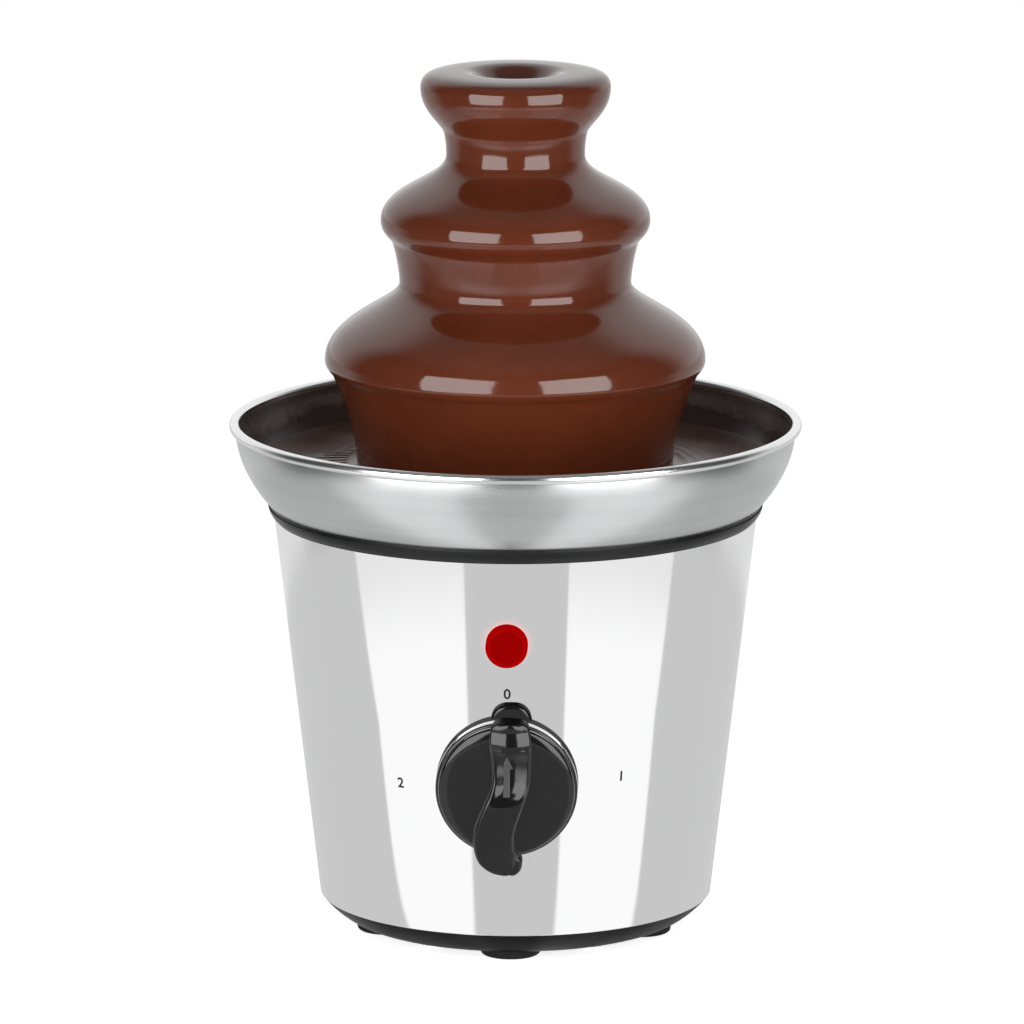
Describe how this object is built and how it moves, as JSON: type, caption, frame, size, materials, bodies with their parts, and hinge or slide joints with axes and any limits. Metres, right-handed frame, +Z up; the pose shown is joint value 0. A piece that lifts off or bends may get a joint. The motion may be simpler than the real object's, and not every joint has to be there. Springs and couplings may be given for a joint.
{
  "type": "chocolate fountain",
  "caption": "Table chocolate fountain: heated steel bowl on a conical body with a control knob, an auger driven tower and chocolate falling over its tiers.",
  "frame": {"origin": "on the table under the middle of the stand", "axes": "+Z up along the tower's axis, -Y to the front where the knob and pilot lamp are"},
  "size_m": [0.19, 0.19, 0.2883],
  "materials": {
    "foot_rubber": "matte black rubber",
    "pan_plastic": "satin black moulding",
    "collar_plastic": "satin black moulding",
    "shell_steel": "polished stainless sheet",
    "bowl_steel": "satin spun stainless",
    "tower_steel": "satin stainless",
    "chocolate": "glossy running milk chocolate",
    "frame_steel": "zinc plated",
    "screw_steel": "zinc plated",
    "bearing_bronze": "sintered bronze",
    "silicone": "food grade silicone",
    "spreader_aluminium": "cast",
    "heater_steel": "heat darkened",
    "fuse_ceramic": "ceramic case",
    "gearbox_plastic": "glass filled nylon",
    "gear_plastic": "acetal",
    "pinion_brass": "turned",
    "motor_steel": "zinc plated",
    "magnet_ferrite": "sintered ferrite",
    "rotor_iron": "laminations and windings",
    "shaft_steel": "ground",
    "auger_plastic": "food grade white",
    "switch_plastic": "moulded",
    "knob_plastic": "polished black",
    "lens_red": "clear red",
    "lamp_glass": "neon lamp",
    "gland_plastic": "moulded",
    "terminal_plastic": "moulded",
    "wire_plastic": "soft insulation"
  },
  "bodies": {
    "base": {"rubber_feet": "foot_rubber", "base_pan": "pan_plastic", "base_screws": "screw_steel", "pillars": "frame_steel", "deck_screws": "screw_steel", "deck_plate": "frame_steel", "bowl_studs": "frame_steel", "stud_nuts": "frame_steel", "body_shell": "shell_steel", "collar_ring": "collar_plastic", "bowl_gasket": "collar_plastic", "bowl": "bowl_steel", "chocolate_pool": "chocolate", "heat_spreader": "spreader_aluminium", "heating_element": "heater_steel", "thermostat": "spreader_aluminium", "thermostat_screws": "screw_steel", "thermal_fuse": "fuse_ceramic", "bowl_bush": "bearing_bronze", "bush_nut": "screw_steel", "bush_washer": "silicone", "shaft_seal": "silicone", "gearbox_case": "gearbox_plastic", "gearbox_cover": "gearbox_plastic", "gearbox_screws": "screw_steel", "output_bush": "bearing_bronze", "idler_pin": "shaft_steel", "motor_can": "motor_steel", "motor_magnets": "magnet_ferrite", "motor_end_cap": "gearbox_plastic", "motor_screws": "screw_steel", "rotary_switch": "switch_plastic", "switch_nut": "screw_steel", "pilot_lens": "lens_red", "lamp_retainer": "switch_plastic", "neon_lamp": "lamp_glass", "cord_gland": "gland_plastic", "gland_nut": "gland_plastic", "terminal_block": "terminal_plastic", "terminal_screws": "screw_steel", "wiring": "wire_plastic"},
    "knob": {"knob": "knob_plastic", "knob_grip": "knob_plastic", "switch_shaft": "shaft_steel"},
    "tower": {"tower_tube": "tower_steel", "lower_tier": "tower_steel", "middle_tier": "tower_steel", "crown": "tower_steel", "crown_chocolate": "chocolate", "middle_chocolate": "chocolate", "lower_chocolate": "chocolate"},
    "rotor": {"motor_rotor": "rotor_iron", "motor_pinion": "pinion_brass"},
    "idler": {"idler_gear": "gear_plastic"},
    "drive": {"drive_gear": "gear_plastic", "drive_shaft": "shaft_steel", "shaft_clip": "shaft_steel", "auger_core": "auger_plastic", "auger_flight": "auger_plastic"}
  },
  "joints": [
    {"name": "knob_turn", "type": "hinge", "parent": "base", "child": "knob", "pos_m": [0, -0.07168, 0.0655], "axis": [0, -0.9934, -0.1144], "range_deg": [-90, 90]},
    {"name": "tower_lift", "type": "slide", "parent": "base", "child": "tower", "axis": [0, 0, 1], "range_m": [0, 0.145]},
    {"name": "motor_spin", "type": "hinge", "parent": "base", "child": "rotor", "pos_m": [0, 0, 0.06], "axis": [0, 0, 1], "continuous": true},
    {"name": "idler_spin", "type": "hinge", "parent": "base", "child": "idler", "pos_m": [0.024, 0, 0.08], "axis": [0, 0, 1], "continuous": true},
    {"name": "auger_spin", "type": "hinge", "parent": "base", "child": "drive", "pos_m": [0, 0, 0.1], "axis": [0, 0, 1], "continuous": true}
  ],
  "couplings": [
    {"joint": "idler_spin", "follows": "motor_spin", "ratio": -0.33333},
    {"joint": "auger_spin", "follows": "motor_spin", "ratio": 0.11111}
  ]
}
